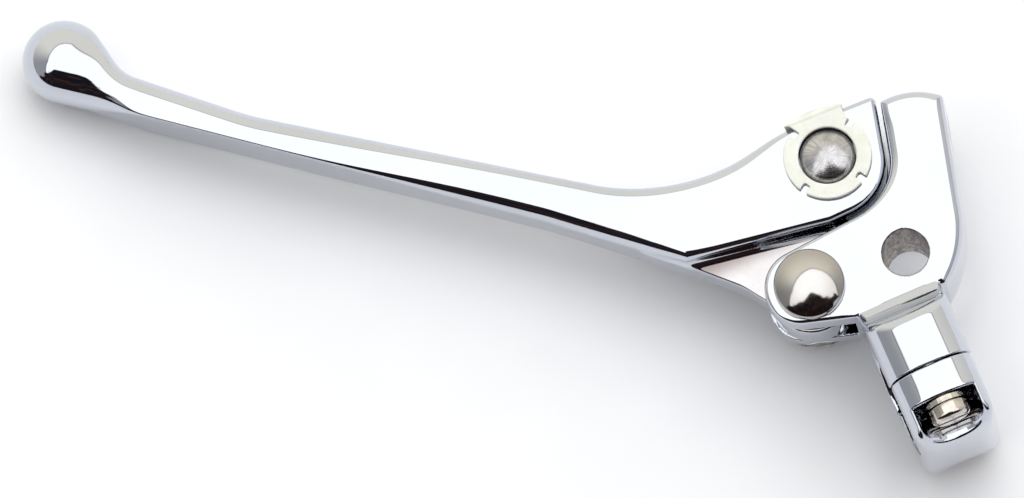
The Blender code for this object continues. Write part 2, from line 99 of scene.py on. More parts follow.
# Clamp screws and the pockets for their heads
SCREW_OFFSET = (low("clamp_screw_upper")[2] + high("clamp_screw_upper")[2]) / 2
SCREW_END = low("clamp_screw_upper")[1]
SCREW_TIP = high("clamp_screw_upper")[1]
SCREW_HEAD_RADIUS = high("clamp_screw_upper")[0]
SCREW_HOLE_RADIUS = 2.8
TAPPED_DEPTH = 10.2
SEAT = high("lock_washer_upper")[1] + 0.3
POCKET_OFFSET = 19.0
POCKET_RADIUS = 7.0

# Lever
BALL_RADIUS = 9.0
BALL = np.array((low("lever")[0] + BALL_RADIUS, high("lever")[1] - BALL_RADIUS))
BLADE_HALF = 8.0
BLADE_WAY = (0.781, -0.625)
HEAD_HALF = high("lever")[2]
TONGUE_LOW = low("pivot_bushing")[2]
TONGUE_HIGH = high("pivot_bushing")[2]
TONGUE_EYE_RADIUS = 9.0
BUSHING_HOLE_RADIUS = 5.05
ANCHOR_HOLE_RADIUS = 6.2
CABLE_ANGLE = math.radians(-8.0)
CABLE_SWING = math.radians(44.0)
CABLE_SLOT_HALF = 1.9


# Distance fields ------------------------------------------------------------------------------

def unite(a, b, radius):
    """Union of two fields, its inner corner filled with a fillet."""
    near_a = np.maximum(radius - a, 0)
    near_b = np.maximum(radius - b, 0)
    return np.maximum(radius, np.minimum(a, b)) - np.hypot(near_a, near_b)


def meet(a, b, radius):
    """Intersection of two fields, its outer edge rounded."""
    near_a = np.maximum(radius + a, 0)
    near_b = np.maximum(radius + b, 0)
    return np.minimum(-radius, np.maximum(a, b)) + np.hypot(near_a, near_b)


def cut(a, b, radius):
    """Field a with b taken away, the new edge rounded."""
    return meet(a, -b, radius)


def blend(value, start, end, first=0.0, last=1.0):
    """A smooth change from first to last as value goes from start to end."""
    t = np.clip((value - start) / (end - start), 0, 1)
    return first + (last - first) * t * t * t * (t * (6 * t - 15) + 10)


class Path:
    """A smooth run of straight lines and arcs, given by corners (x, y, fillet radius).

    distance() is negative on the left of the path, which is the inside of a closed path
    whose corners run anticlockwise. An open path's end lines go on for ever.
    """

    def __init__(self, corners, closed=True):
        points = np.array([corner[:2] for corner in corners], float)
        count = len(points)
        ends = {}
        self.lines = []
        self.arcs = []
        inner = range(count) if closed else range(1, count - 1)
        for i in inner:
            self._fillet(points[i - 1], points[i], points[(i + 1) % count], corners[i][2], ends, i)
        for i in range(count if closed else count - 1):
            j = (i + 1) % count
            start = ends[i][1] if i in ends else points[i]
            end = ends[j][0] if j in ends else points[j]
            along = (points[j] - points[i]) / np.linalg.norm(points[j] - points[i])
            low = -1e9 if not closed and i == 0 else 0.0
            high = 1e9 if not closed and j == count - 1 else float((end - start) @ along)
            self.lines.append((start, along, low, high))

    def _fillet(self, before, corner, after, radius, ends, index):
        """Round one corner: keep its arc, and where the straight lines end at it."""
        back = (before - corner) / np.linalg.norm(before - corner)
        ahead = (after - corner) / np.linalg.norm(after - corner)
        half = math.acos(np.clip(back @ ahead, -1, 1)) / 2
        reach = radius / math.tan(half)
        bisector = (back + ahead) / np.linalg.norm(back + ahead)
        centre = corner + bisector * radius / math.sin(half)
        turn = -back[0] * ahead[1] + back[1] * ahead[0]
        ends[index] = (corner + back * reach, corner + ahead * reach)
        self.arcs.append((centre, radius, -back, ahead, 1.0 if turn > 0 else -1.0))

    def distance(self, x, y):
        """The signed distance to the nearest line or arc that faces the point."""
        best = np.full(np.shape(x), 1e6)
        for start, along, low, high in self.lines:
            dx, dy = x - start[0], y - start[1]
            run = dx * along[0] + dy * along[1]
            side = dx * along[1] - dy * along[0]
            near = (run >= low) & (run <= high) & (np.abs(side) < np.abs(best))
            best = np.where(near, side, best)
        for centre, radius, entry, leave, sign in self.arcs:
            dx, dy = x - centre[0], y - centre[1]
            side = sign * (np.hypot(dx, dy) - radius)
            near = ((dx * entry[0] + dy * entry[1] >= 0) & (dx * leave[0] + dy * leave[1] <= 0)
                    & (np.abs(side) < np.abs(best)))
            best = np.where(near, side, best)
        return best


def disc(x, y, centre, radius):
    """A circle's distance in the plan."""
    return np.hypot(x - centre[0], y - centre[1]) - radius


# Meshing --------------------------------------------------------------------------------------

BLOCK = 8
CORNERS = np.array([(i, j, k) for i in (0, 1) for j in (0, 1) for k in (0, 1)])
CELL_EDGES = [(a, b) for a in range(8) for b in range(a + 1, 8)
              if np.abs(CORNERS[a] - CORNERS[b]).sum() == 1]
SETTLING_STEPS = 4
TETRA = np.array([(1, 1, 1), (1, -1, -1), (-1, 1, -1), (-1, -1, 1)], float)


def evaluate(field, points, batch=400000):
    """A field's values at many points, in batches."""
    values = [field(*points[i:i + batch].T) for i in range(0, len(points), batch)]
    return np.concatenate(values)


def gradient(field, points, step):
    """The field's gradient, from four points around each point."""
    total = np.zeros_like(points)
    for corner in TETRA:
        total += evaluate(field, points + corner * step)[:, None] * corner
    return total / (4 * step)


def sampled(field, start, blocks, cell):
    """The field on a grid, worked out only in the blocks that the surface can pass through."""
    spots = np.stack(np.meshgrid(*[np.arange(n) for n in blocks], indexing="ij"), -1)
    centres = start + (spots.reshape(-1, 3) + 0.5) * BLOCK * cell
    rough = evaluate(field, centres)
    values = np.empty((len(centres), BLOCK ** 3), np.float32)
    values[:] = np.where(rough > 0, 1, -1)[:, None]
    near = np.flatnonzero(np.abs(rough) < 1.25 * BLOCK * cell)
    offsets = np.stack(np.meshgrid(*[np.arange(BLOCK)] * 3, indexing="ij"), -1).reshape(-1, 3)
    corners = start + spots.reshape(-1, 3)[near] * BLOCK * cell
    points = (corners[:, None, :] + offsets[None] * cell).reshape(-1, 3)
    values[near] = evaluate(field, points).reshape(len(near), -1)
    grid = values.reshape(*blocks, BLOCK, BLOCK, BLOCK).transpose(0, 3, 1, 4, 2, 5)
    return grid.reshape(*(np.array(blocks) * BLOCK))


def net_points(grid, active):
    """One point in each active cell: the mean of where the surface crosses the cell's edges."""
    corner = np.stack([grid[tuple((active + c).T)] for c in CORNERS], 1)
    total = np.zeros((len(active), 3))
    crossings = np.zeros(len(active))
    for a, b in CELL_EDGES:
        first, second = corner[:, a], corner[:, b]
        crossed = (first < 0) != (second < 0)
        gap = np.where(crossed, first - second, 1)
        share = np.where(crossed, first / gap, 0)[:, None]
        spot = CORNERS[a] + share * (CORNERS[b] - CORNERS[a])
        total += np.where(crossed[:, None], spot, 0)
        crossings += crossed
    return active + total / crossings[:, None]


def net_faces(inside, ids):
    """A quad round each grid edge that the surface crosses."""
    quads = []
    for axis in range(3):
        left, right = (axis + 1) % 3, (axis + 2) % 3
        lower = np.moveaxis(inside, axis, 0)[:-1]
        upper = np.moveaxis(inside, axis, 0)[1:]
        crossed = np.argwhere(np.moveaxis(lower != upper, 0, axis))
        crossed = crossed[(crossed[:, left] > 0) & (crossed[:, right] > 0)]
        outward = inside[tuple(crossed.T)]
        ring = []
        for back_left, back_right in ((1, 1), (0, 1), (0, 0), (1, 0)):
            spot = crossed.copy()
            spot[:, left] -= back_left
            spot[:, right] -= back_right
            ring.append(ids[tuple(spot.T)])
        quad = np.stack(ring, 1)
        quads.append(np.where(outward[:, None], quad, quad[:, ::-1]))
    return np.concatenate(quads)


def solid(name, field, start, end, cell):
    """The zero surface of a field as a mesh object, in metres, with the field's own normals."""
    start = start - 1.5 * cell
    blocks = np.ceil((end + 1.5 * cell - start) / cell / BLOCK).astype(int)
    grid = sampled(field, start, blocks, cell)
    inside = grid < 0
    held = sum(inside[i:i + grid.shape[0] - 1, j:j + grid.shape[1] - 1, k:k + grid.shape[2] - 1]
               .astype(np.int8) for i, j, k in CORNERS)
    active = np.argwhere((held > 0) & (held < 8))
    ids = np.full(held.shape, -1, np.int64)
    ids[tuple(active.T)] = np.arange(len(active))
    points = start + net_points(grid, active) * cell
    for _ in range(SETTLING_STEPS):
        slope = gradient(field, points, cell / 10)
        steep = np.maximum((slope ** 2).sum(1), 0.2)
        move = -(evaluate(field, points) / steep)[:, None] * slope
        points += np.clip(move, -0.5 * cell, 0.5 * cell)
    normals = gradient(field, points, cell / 20)
    normals /= np.linalg.norm(normals, axis=1)[:, None]
    mesh = bpy.data.meshes.new(name)
    mesh.from_pydata(((points + HOME) * MM).tolist(), [], net_faces(inside, ids).tolist())
    mesh.shade_smooth()
    mesh.normals_split_custom_set_from_vertices(normals.tolist())
    made = bpy.data.objects.new(name, mesh)
    bpy.context.scene.collection.objects.link(made)
    return made


# Lever ----------------------------------------------------------------------------------------

# Both edges run round the ball, whose section and plan are circles of the same radius.
# Path corners are (x, y, fillet radius), run anticlockwise and keep the solid on their left
BALL_CORNERS = [(-144.97, 154.22, 9), (-155.92, 139.93, 9)]
LOWER_EDGE = Path([
    (-95.5, 158.8), (-133.07, 145.1, 6), *BALL_CORNERS,
    (-138.0, 126.2, 30), (-62.0, 65.4, 60), (-44.0, 49.4, 30),
    (-38.0, 44.5, 0.8), (-6.5, 39.3, 5), (7.75, 39.7, 12.4), (12.95, 61.1),
], closed=False)
UPPER_EDGE = Path([
    (7.75, 39.7), (12.95, 61.1, 1.2), (-8.5, 61.8, 40), (-34.8, 57.4, 43), (-52.0, 70.2, 60),
    (-111.0, 113.0, 60), (-132.64, 132.98, 9), (-135.05, 146.62, 9), *BALL_CORNERS,
    (-145.36, 131.85, 6), (-145.36, 110.0),
], closed=False)
TONGUE = Path([
    (-46.0, 52.0, 0.5), (-29.0, 35.0, 16), (-25.1, 29.2, 2), (-25.1, 28.0, 0.2),
    (-7.1, 28.0, 0.2), (-7.1, 30.0, 2), (-4.0, 40.5, 3), (-4.0, 46.0, 0.5), (-36.0, 50.0, 0.5),
])

# The radius of an edge by the ball, and its changes along x: (start, end, new radius)
UPPER_ROUNDS = (4.3, (-120, -50, 2.7), (-25, 0, 1.3))
LOWER_ROUNDS = (0.45, (-115, -60, 3.85), (-50, -28, 1.55))
# How far from the ball's centre, along the blade, the ball's own radius and thickness fade out
UPPER_FADE = (-1, 12)
LOWER_FADE = (4, 24)
THICKNESS_FADE = (2, 20)
HEAD_START, HEAD_FULL = -62, -28


def cable_frame(x, y):
    """Distances along and across the cable, from the anchor pin."""
    dx, dy = x - ANCHOR[0], y - ANCHOR[1]
    run = dx * math.cos(CABLE_ANGLE) + dy * math.sin(CABLE_ANGLE)
    return run, dy * math.cos(CABLE_ANGLE) - dx * math.sin(CABLE_ANGLE)


def wedge(x, y):
    """The plan sector that the cable sweeps as the lever is pulled."""
    dx, dy = x - ANCHOR[0], y - ANCHOR[1]
    first = CABLE_ANGLE + math.radians(7)
    last = CABLE_ANGLE - CABLE_SWING
    above = dy * math.cos(first) - dx * math.sin(first)
    below = dx * math.sin(last) - dy * math.cos(last)
    return np.maximum(above, below)


def edge_round(x, run, rounds, fade):
    """An edge's radius at a place: it changes along x and ends as the ball's own."""
    last, *changes = rounds
    radius = last
    for start, end, new in changes:
        radius = radius + blend(x, start, end, 0, new - last)
        last = new
    return radius + (BALL_RADIUS - radius) * blend(run, *fade, 1, 0)


def lever_field(x, y, z):
    """Ball, blade, head and tongue, bored for the bushing and the anchor pin."""
    run = (x - BALL[0]) * BLADE_WAY[0] + (y - BALL[1]) * BLADE_WAY[1]
    half = blend(x, HEAD_START, HEAD_FULL, BLADE_HALF, HEAD_HALF)
    half += blend(run, *THICKNESS_FADE, BALL_RADIUS - BLADE_HALF, 0)
    thick = np.abs(z) - half
    upper = meet(UPPER_EDGE.distance(x, y), thick, edge_round(x, run, UPPER_ROUNDS, UPPER_FADE))
    lower = meet(LOWER_EDGE.distance(x, y), thick, edge_round(x, run, LOWER_ROUNDS, LOWER_FADE))
    body = np.maximum(upper, lower)
    plan = np.minimum(TONGUE.distance(x, y), disc(x, y, PIVOT, TONGUE_EYE_RADIUS))
    tongue = meet(plan, np.maximum(z - TONGUE_HIGH, TONGUE_LOW - z), 0.7)
    body = unite(body, tongue, 2.0)
    body = cut(body, disc(x, y, PIVOT, BUSHING_HOLE_RADIUS), 0.3)
    body = cut(body, disc(x, y, ANCHOR, ANCHOR_HOLE_RADIUS), 0.4)
    return cut(body, np.maximum(wedge(x, y), np.abs(z) - CABLE_SLOT_HALF), 0.3)


# Bracket --------------------------------------------------------------------------------------

PLATE = Path([
    (10.6, 16.6, 0.8), (17.9, 21.9, 24), (26.4, 55.2, 1.0), (20.7, 59.6, 16.0),
    (13.3, 59.5, 0.8), (8.3, 39.1, 13), (-26.0, 36.4, 8.4), (-26.0, 22.4, 8), (-9.9, 17.5, 0.8),
])
CLEVIS = Path([
    (-40.0, 10.0, 0.5), (-10.2, 10.0, 0.5), (-10.2, 18.4, 0.5), (-5.8, 21.4, 3),
    (-5.6, 30.0, 6), (-1.6, 41.5, 0.5), (-40.0, 44.0, 0.5),
])
EDGE_BARREL = 0.35
CROWN_FLAT = 12.5
CROWN_RISE = high("bracket")[2] - CROWN_FLAT
CROWN_POWER = 2.4
# The clamp's end falls to the plate's face in a cove: corners are (y, distance from mid plane)
SHOULDER = Path([(22.0, 0.0), (22.0, 9.65, 0.3), (15.73, 11.94, 6.5), (7.30, 30.0)], closed=False)
CAP_PLAN = Path([(9.5, 4.0, 0.5), (-9.5, 4.0, 0.5), (-9.1, CAP_END, 5), (9.1, CAP_END, 5)])
CAP_HALF_HEIGHT = 21.6
CAP_POWER = 3.5
CAP_MEAN_HALF = 15.0


def crown(x, z):
    """The clamp's section: flat sides and crowned ends."""
    u = np.abs(x) / CLAMP_HALF_WIDTH
    w = np.maximum(np.abs(z) - CROWN_FLAT, 0) / CROWN_RISE
    norm = np.maximum((u ** CROWN_POWER + w ** CROWN_POWER) ** (1 / CROWN_POWER), 0.05)
    slope = np.hypot((u / norm) ** (CROWN_POWER - 1) / CLAMP_HALF_WIDTH,
                     (w / norm) ** (CROWN_POWER - 1) / CROWN_RISE)
    return (norm - 1) / np.maximum(slope, 0.02)


def post_field(x, y, z):
    """The bracket's half of the clamp, its shoulders falling to the plate."""
    body = meet(crown(x, z), SHOULDER.distance(y, np.abs(z)), 1.5)
    return meet(body, SPLIT_HALF_GAP - y, 0.3)


def screw_radial(x, z):
    """The distance from the nearer clamp screw's axis."""
    return np.hypot(x, np.abs(z) - SCREW_OFFSET)


def plate_round(x, y):
    """The radius of the plate's edge: small on the ears and at the cove, large on the right."""
    radius = blend(x, 0, 16, 0.95, 2.4) - blend(y, 52, 58, 0, 0.6)
    return radius - 0.3 * blend(y, 19, 24, 1, 0) * blend(np.abs(x), 9, 13, 1, 0)


def bracket_field(x, y, z):
    """The plate with its slightly barrelled edge, its ears and the half clamp, with their holes."""
    barrel = EDGE_BARREL * (z / PLATE_HALF) ** 2
    body = meet(PLATE.distance(x, y) + barrel, np.abs(z) - PLATE_HALF, plate_round(x, y))
    body = unite(body, post_field(x, y, z), 0.25)
    body = cut(body, np.maximum(CLEVIS.distance(x, y), np.abs(z) - EAR_GAP_HALF), 0.3)
    body = cut(body, np.hypot(y, z) - BAR_RADIUS, 0.6)
    body = cut(body, disc(x, y, PIVOT, PIVOT_HOLE_RADIUS), 0.3)
    body = cut(body, disc(x, y, MIRROR_HOLE, MIRROR_HOLE_RADIUS), 0.35)
    run, across = cable_frame(x, y)
    for radius, start, edge in CABLE_HOLES:
        body = cut(body, np.maximum(np.hypot(across, z) - radius, start - run), edge)
    tapped = np.maximum(screw_radial(x, z) - SCREW_HOLE_RADIUS, y - TAPPED_DEPTH)
    return np.maximum(body, -tapped)


def cap_field(x, y, z):
    """The loose half of the clamp, squarish in side view, with scooped pockets for the screws."""
    side = (np.abs(y) / -CAP_END) ** CAP_POWER + (np.abs(z) / CAP_HALF_HEIGHT) ** CAP_POWER
    side = CAP_MEAN_HALF * (side ** (1 / CAP_POWER) - 1)
    body = meet(crown(x, z), side, 0.8)
    body = meet(body, CAP_PLAN.distance(x, y), 0.8)
    body = meet(body, y + SPLIT_HALF_GAP, 0.3)
    pocket = cut(np.hypot(x, np.abs(z) - POCKET_OFFSET) - POCKET_RADIUS, SEAT - y, 0.3)
    body = cut(body, pocket, 0.6)
    body = cut(body, np.hypot(y, z) - BAR_RADIUS, 0.6)
    return np.maximum(body, SCREW_HOLE_RADIUS - screw_radial(x, z))


# Screws, pins and clip ------------------------------------------------------------------------

def rod(radial, height, radius, low, high, edge):
    """A turned length of the given radius between two heights, its rims rounded."""
    return meet(radial - radius, np.abs(height - (low + high) / 2) - (high - low) / 2, edge)


def dome(radial, height, top, reach, rise):
    """A shallow dome of the given reach and rise under its top."""
    curve = (reach ** 2 + rise ** 2) / (2 * rise)
    return np.hypot(radial, height - top + curve) - curve


def screw_field(side):
    """A slotted cheese-head screw along Y, above or below the handlebar."""
    head_height = 3.3
    slot_half_width = 0.6
    slot_depth = 1.3
    shank_radius = 2.45

    def field(x, y, z):
        off_axis = z - side * SCREW_OFFSET
        radial = np.hypot(x, off_axis)
        under = meet(radial - SCREW_HEAD_RADIUS, y - SCREW_END - head_height, 0.2)
        head = meet(under, SCREW_END - y, 1.2)
        slot = np.maximum(np.abs(off_axis) - slot_half_width, y - SCREW_END - slot_depth)
        shank = rod(radial, y, shank_radius, SCREW_END + 2, SCREW_TIP, 0.5)
        return unite(cut(head, slot, 0.15), shank, 0.2)
    return field


def pivot_pin_field(x, y, z):
    """The pivot: a domed head, a shank and the groove for its retaining ring."""
    radial = disc(x, y, PIVOT, 0.0)
    top = high("pivot_pin")[2]
    reach = high("pivot_pin")[0] - PIVOT[0]
    dome_rise = 2.9
    under_head = PLATE_HALF + 0.3
    shank_radius = 4.0
    groove_radius = 3.0
    groove_half = 0.7
    groove_middle = low("pivot_washer")[2] - 0.75
    head = meet(dome(radial, z, top, reach, dome_rise), radial - reach, 0.4)
    head = meet(head, under_head - z, 0.2)
    shank = rod(radial, z, shank_radius, low("pivot_pin")[2], top - 1, 0.5)
    groove = np.maximum(groove_radius - radial, np.abs(z - groove_middle) - groove_half)
    return cut(np.minimum(head, shank), groove, 0.1)


def anchor_pin_field(x, y, z):
    """The cross pin, domed at both ends, bored for the cable and for the nipple on its end."""
    radial = disc(x, y, ANCHOR, 0.0)
    radius = 5.9
    dome_rise = 2.2
    cable_radius = 1.4
    cable_start = -2.0
    nipple_radius = 3.3
    nipple_end = 1.5
    body = dome(radial, np.abs(z), high("anchor_pin")[2], radius, dome_rise)
    body = meet(body, radial - radius, 0.3)
    run, across = cable_frame(x, y)
    off_cable = np.hypot(across, z)
    body = cut(body, np.maximum(off_cable - cable_radius, cable_start - run), 0.15)
    return cut(body, np.maximum(off_cable - nipple_radius, run - nipple_end), 0.2)


STRAP = Path([
    (-7.4, 61.9, 0.1), (5.7, 61.5, 0.1), (5.7, 62.15, 0.15), (-0.6, 63.25, 14),
    (-7.4, 62.45, 0.15),
])
CLIP_RADIUS = 9.45
CLIP_TURN = math.radians(33.0)
COLLAR_MIDDLE = HEAD_HALF + 0.85
COLLAR_HALF = 0.55
TAB = np.array((-0.85, 59.0))
TAB_HALF = np.array((6.3, 3.2))
PETAL_GAP_HALF = 0.8
PETAL_GAP_START = 7.6


def clip_field(x, y, z):
    """The nylon clip: a petalled collar on each face of the head and a strap between them."""
    radial = disc(x, y, ANCHOR, 0.0)
    height = np.abs(np.abs(z) - COLLAR_MIDDLE) - COLLAR_HALF
    tab = meet(np.abs(x - TAB[0]) - TAB_HALF[0], np.abs(y - TAB[1]) - TAB_HALF[1], 0.6)
    collar = meet(np.minimum(radial - CLIP_RADIUS, tab), height, 0.3)
    dx, dy = x - ANCHOR[0], y - ANCHOR[1]
    for quarter in range(4):
        angle = CLIP_TURN + quarter * math.pi / 2
        run = dx * math.cos(angle) + dy * math.sin(angle)
        across = np.abs(dy * math.cos(angle) - dx * math.sin(angle))
        gap = meet(across - PETAL_GAP_HALF, PETAL_GAP_START - run, 0.5)
        collar = cut(collar, gap, 0.2)
    strap = meet(STRAP.distance(x, y), np.abs(z) - COLLAR_MIDDLE - COLLAR_HALF, 0.15)
    return cut(unite(collar, strap, 0.4), radial - ANCHOR_HOLE_RADIUS, 0.3)


# Materials ------------------------------------------------------------------------------------

class Tree:
    """Short ways of adding and joining shader nodes."""

    def __init__(self, tree):
        self.tree = tree

    def add(self, kind, inputs=None, **settings):
        """A new node with its inputs filled and its settings made."""
        node = self.tree.nodes.new(kind)
        for key, value in settings.items():
            setattr(node, key, value)
        for key, value in (inputs or {}).items():
            self.put(node.inputs[key], value)
        return node

    def put(self, socket, value):
        """Give an input a value, or join it to a node's first output or to a socket."""
        if isinstance(value, bpy.types.Node):
            value = value.outputs[0]
        if isinstance(value, bpy.types.NodeSocket):
            self.tree.links.new(value, socket)
        else:
            socket.default_value = value

    def number(self, operation, a, b=0.0, c=0.0):
        """A sum on numbers."""
        return self.add("ShaderNodeMath", {0: a, 1: b, 2: c}, operation=operation)

    def vector(self, operation, a, b=None):
        """A sum on vectors."""
        inputs = {0: a} if b is None else {0: a, 1: tuple(b)}
        return self.add("ShaderNodeVectorMath", inputs, operation=operation)

    def spot(self):
        """The place on the object, in metres."""
        return self.add("ShaderNodeTexCoord").outputs["Object"]

    def step(self, value, start, end, low=0.0, high=1.0):
        """A smooth change from low to high as value goes from start to end."""
        made = self.add("ShaderNodeMapRange", {"Value": value, "From Min": start, "From Max": end,
                                               "To Min": low, "To Max": high})
        made.interpolation_type = "SMOOTHSTEP"
        return made

    def mix(self, share, first, second):
        """A colour between first and second, all of it second where share is 1."""
        made = self.add("ShaderNodeMix", data_type="RGBA")
        self.put(made.inputs[0], share)
        self.put(made.inputs[6], first)
        self.put(made.inputs[7], second)
        return made.outputs[2]

    def cover(self, shader, name, share, value):
        """Lay a colour or a number over what a shader input has, by share."""
        old = shader.inputs[name].links[0].from_socket
        if name == "Roughness":
            made = self.add("ShaderNodeMix", {0: share, 2: old, 3: value})
        else:
            made = self.mix(share, old, value)
        self.put(shader.inputs[name], made)

    def noise(self, scale, detail=3.0, roughness=0.5, place=None, stretch=(1, 1, 1)):
        """Noise whose features repeat scale times a metre."""
        mapped = self.add("ShaderNodeMapping", {"Vector": place or self.spot(), "Scale": stretch})
        return self.add("ShaderNodeTexNoise", {"Vector": mapped, "Scale": scale, "Detail": detail,
                                               "Roughness": roughness})


def principled(name, **values):
    """A new material, its node tools and its Principled shader."""
    made = bpy.data.materials.new(name)
    made.use_nodes = True
    shader = made.node_tree.nodes["Principled BSDF"]
    tools = Tree(made.node_tree)
    for key, value in values.items():
        tools.put(shader.inputs[key.replace("_", " ")], value)
    return made, tools, shader


def plating(name):
    """Mirror-bright metal with the faint ripple of its plating."""
    made, tools, shader = principled(name, Metallic=1.0)
    ripple = tools.noise(140.0, 2.0)
    bump = tools.add("ShaderNodeBump", {"Height": ripple, "Strength": 0.04, "Distance": 0.0004})
    tools.put(shader.inputs["Normal"], bump)
    return made, tools, shader


def chrome(name):
    """Bright, slightly blue chrome with haze and finger marks."""
    made, tools, shader = plating(name)
    haze = tools.noise(60.0, 4.0, 0.6)
    tools.put(shader.inputs["Roughness"], tools.step(haze, 0.35, 0.75, 0.025, 0.075))
    cloud = tools.step(tools.noise(35.0, 2.0), 0.3, 0.7)
    colour = tools.mix(cloud, (0.575, 0.60, 0.66, 1), (0.605, 0.63, 0.69, 1))
    tools.put(shader.inputs["Base Color"], colour)
    return made, tools, shader


def bracket_chrome():
    """The same chrome, with the mirror hole's wall left bare, rough and a little brown."""
    made, tools, shader = chrome("bracket_chrome")
    offset = tools.vector("SUBTRACT", tools.spot(), world_place(*MIRROR_HOLE, 0.0))
    flat = tools.vector("MULTIPLY", offset, (1, 1, 0))
    radius = tools.vector("LENGTH", flat).outputs["Value"]
    inside = tools.step(radius, (MIRROR_HOLE_RADIUS + 0.1) * MM, (MIRROR_HOLE_RADIUS + 0.25) * MM,
                        1.0, 0.0)
    streaks = tools.noise(900.0, 5.0, 0.7, stretch=(1, 1, 0.35))
    bare = tools.mix(tools.step(streaks, 0.4, 0.62), (0.26, 0.22, 0.19, 1), (0.62, 0.57, 0.53, 1))
    tools.cover(shader, "Base Color", inside, bare)
    tools.cover(shader, "Roughness", inside, 0.42)
    return made


# Where the painted shade on the tongue starts and ends, along Y
TONGUE_SHADE = (37.0, 42.5)


def lever_chrome():
    """The same chrome, thin and satin on the tongue, with painted shade where the blade rises from
    it.
    """
    made, tools, shader = chrome("lever_chrome")
    spot = tools.add("ShaderNodeSeparateXYZ", {0: tools.spot()}).outputs
    level = tools.number("ABSOLUTE", tools.number("SUBTRACT", spot["Z"], TONGUE_HIGH * MM))
    normal = tools.add("ShaderNodeNewGeometry").outputs["Normal"]
    upright = tools.add("ShaderNodeSeparateXYZ", {0: normal}).outputs["Z"]
    on_face = tools.step(level, 0.3 * MM, 0.7 * MM, 1.0, 0.0)
    satin = tools.number("MULTIPLY", on_face, tools.step(upright, 0.75, 0.95))
    grain = tools.noise(300.0, 4.0, 0.6)
    tongue_tone_and_shade = tools.mix(tools.step(grain, 0.3, 0.7), (0.62, 0.61, 0.62, 1), (0.585, 0.56, 0.56, 1))
    # Painted shade: the tongue's colour darkens towards the wall where the blade rises over it
    start, end = [(y + HOME[1]) * MM for y in TONGUE_SHADE]
    shaded = tools.step(spot["Y"], start, end, 0.0, 0.85)
    tongue_tone_and_shade = tools.mix(shaded, tongue_tone_and_shade, (0.22, 0.17, 0.16, 1))
    tools.cover(shader, "Base Color", satin, tongue_tone_and_shade)
    tools.cover(shader, "Roughness", satin, 0.13)
    return made


def pin_chrome():
    """Duller, warmer plating on the pivot's domed head, with painted shade darkening its colour
    towards the rim.
    """
    made, tools, shader = plating("pin_chrome")
    wear = tools.noise(220.0, 3.0, 0.6)
    tools.put(shader.inputs["Roughness"], tools.step(wear, 0.3, 0.7, 0.07, 0.13))
    # Painted shade: the base colour darkens from 4 mm out to the dome's rim
    away = tools.vector("DISTANCE", tools.spot(), world_place(*PIVOT, PLATE_HALF))
    painted_rim_shade = tools.step(away.outputs["Value"], 4.0 * MM, 7.5 * MM)
    bright = tools.mix(tools.step(wear, 0.3, 0.7), (0.64, 0.63, 0.62, 1), (0.69, 0.68, 0.67, 1))
    tools.put(shader.inputs["Base Color"], tools.mix(painted_rim_shade, bright, (0.42, 0.40, 0.38, 1)))
    return made


# How dark the grime and the painted reflection rays make the metal's colour
GRIME_AND_PAINTED_RAY_SHADE = 0.62


def turned_metal(name, colour, centre, axis, rough, lathe=0.0):
    """Lathe-turned metal: rings about an axis through centre, with grime.

    A value for lathe also gives it the stretched glint, and dark rays painted into its colour that
    stand in for the streaked reflection on a faced end.
    """
    made, tools, shader = principled(name, Metallic=1.0)
    offset = tools.vector("SUBTRACT", tools.spot(), world_place(*centre))
    streaks = 0.0
    if lathe:
        # Painted reflection: dark rays round the axis, laid into the colour like the grime
        parts = tools.add("ShaderNodeSeparateXYZ", {0: offset}).outputs
        turn = tools.number("ARCTAN2", parts["Y"], parts["X"])
        rays = tools.add("ShaderNodeTexNoise", {"W": turn, "Scale": 7.0, "Detail": 5.0},
                         noise_dimensions="1D")
        streaks = tools.step(rays, 0.42, 0.62, 0.0, 0.75)
        tools.put(shader.inputs["Anisotropic"], lathe)
        tools.put(shader.inputs["Anisotropic Rotation"], 0.25)
        tools.put(shader.inputs["Tangent"],
                  tools.add("ShaderNodeTangent", direction_type="RADIAL", axis="Z"))
    flat = tools.vector("MULTIPLY", offset, [0 if part else 1 for part in axis])
    radius = tools.vector("LENGTH", flat).outputs["Value"]
    rings = tools.add("ShaderNodeTexNoise", {"W": radius, "Scale": 2600.0, "Detail": 3.0},
                      noise_dimensions="1D")
    grime = tools.noise(500.0, 3.0)
    tools.put(shader.inputs["Roughness"], tools.step(rings, 0.3, 0.7, rough - 0.06, rough + 0.08))
    shade = [GRIME_AND_PAINTED_RAY_SHADE * part for part in colour]
    grime_and_painted_rays = tools.number("MAXIMUM", tools.step(grime, 0.35, 0.75), streaks)
    tools.put(shader.inputs["Base Color"], tools.mix(grime_and_painted_rays, (*colour, 1), (*shade, 1)))
    bump = tools.add("ShaderNodeBump", {"Height": rings, "Strength": 0.35, "Distance": 0.00005})
    tools.put(shader.inputs["Normal"], bump)
    return made


def nylon():
    """Natural nylon: milky, a little greenish, letting light through."""
    made, tools, shader = principled("natural_nylon", IOR=1.53, Roughness=0.32)
    cloud = tools.noise(400.0, 3.0)
    tools.put(shader.inputs["Base Color"],
              tools.mix(tools.step(cloud, 0.3, 0.7), (0.79, 0.81, 0.74, 1), (0.86, 0.87, 0.82, 1)))
    tools.put(shader.inputs["Subsurface Weight"], 0.6)
    tools.put(shader.inputs["Subsurface Radius"], (0.0016, 0.0015, 0.0011))
    tools.put(shader.inputs["Transmission Weight"], 0.12)
    grain = tools.noise(2500.0, 2.0)
    bump = tools.add("ShaderNodeBump", {"Height": grain, "Strength": 0.15, "Distance": 0.00005})
    tools.put(shader.inputs["Normal"], bump)
    return made


# Pieces ---------------------------------------------------------------------------------------

def place(name, field, node, body, slot, look, cell):
    """Mesh a field, give it its material and let it stand for a CAD node."""
    made = solid(name, field, low(node), high(node), cell)
    made.data.materials.append(look)
    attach(made, body)
    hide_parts(node)
    return made


COARSE = 1.0
ALONG_Y = (0, 1, 0)
ALONG_Z = (0, 0, 1)

